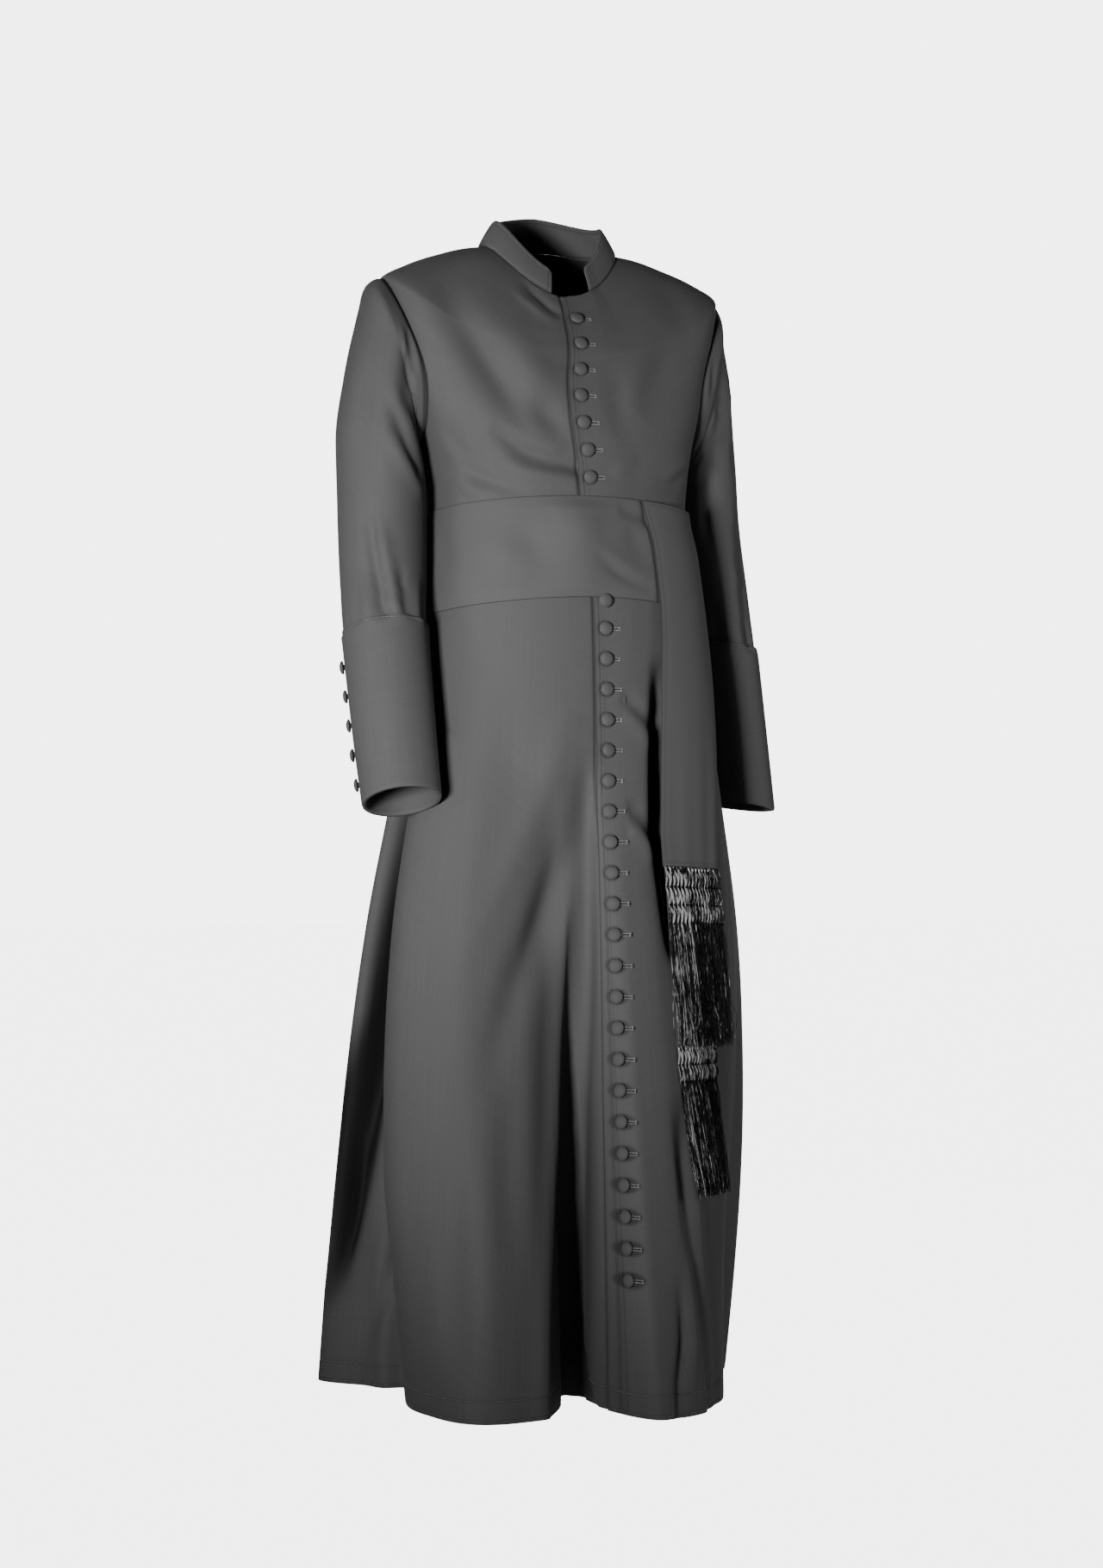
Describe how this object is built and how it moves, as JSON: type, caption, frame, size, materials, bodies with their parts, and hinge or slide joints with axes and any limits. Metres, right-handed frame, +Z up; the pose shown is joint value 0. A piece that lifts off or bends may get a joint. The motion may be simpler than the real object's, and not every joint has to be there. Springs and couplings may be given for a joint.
{
  "type": "cassock with fringed sash",
  "caption": "Long single-breasted clerical cassock in its worn shape, hollow and open at neck, cuffs and hem, with standing collar, turned-back cuffs and a waist sash with fringed falls.",
  "frame": {"origin": "the middle of the neck opening, level with the points where the shoulder seams meet the collar: the garment is held at the neck and shoulders", "axes": "+Z up, -Y the way the wearer faces, +X the wearer's left"},
  "size_m": [0.5732, 0.5074, 1.3937],
  "materials": {
    "wool": "matte fine twill",
    "sash_wool": "matte plain weave",
    "silk": "lustrous twisted thread"
  },
  "bodies": {
    "root": {"back_left": "wool", "back_right": "wool", "button_chest_1": "wool", "button_chest_2": "wool", "button_chest_3": "wool", "button_chest_4": "wool", "button_chest_5": "wool", "button_chest_6": "wool", "button_chest_7": "wool", "button_cuff_left_1": "wool", "button_cuff_left_2": "wool", "button_cuff_left_3": "wool", "button_cuff_left_4": "wool", "button_cuff_left_5": "wool", "button_cuff_right_1": "wool", "button_cuff_right_2": "wool", "button_cuff_right_3": "wool", "button_cuff_right_4": "wool", "button_cuff_right_5": "wool", "button_sash": "wool", "button_skirt_01": "wool", "button_skirt_02": "wool", "button_skirt_03": "wool", "button_skirt_04": "wool", "button_skirt_05": "wool", "button_skirt_06": "wool", "button_skirt_07": "wool", "button_skirt_08": "wool", "button_skirt_09": "wool", "button_skirt_10": "wool", "button_skirt_11": "wool", "button_skirt_12": "wool", "button_skirt_13": "wool", "button_skirt_14": "wool", "button_skirt_15": "wool", "button_skirt_16": "wool", "button_skirt_17": "wool", "button_skirt_18": "wool", "button_skirt_19": "wool", "button_skirt_20": "wool", "button_skirt_21": "wool", "button_skirt_22": "wool", "collar": "wool", "cuff_left": "wool", "cuff_right": "wool", "fringe_back": "silk", "fringe_front": "silk", "front_left": "wool", "front_right": "wool", "sash_band": "sash_wool", "sash_fall_back": "sash_wool", "sash_fall_front": "sash_wool", "sleeve_left": "wool", "sleeve_right": "wool"}
  },
  "joints": []
}
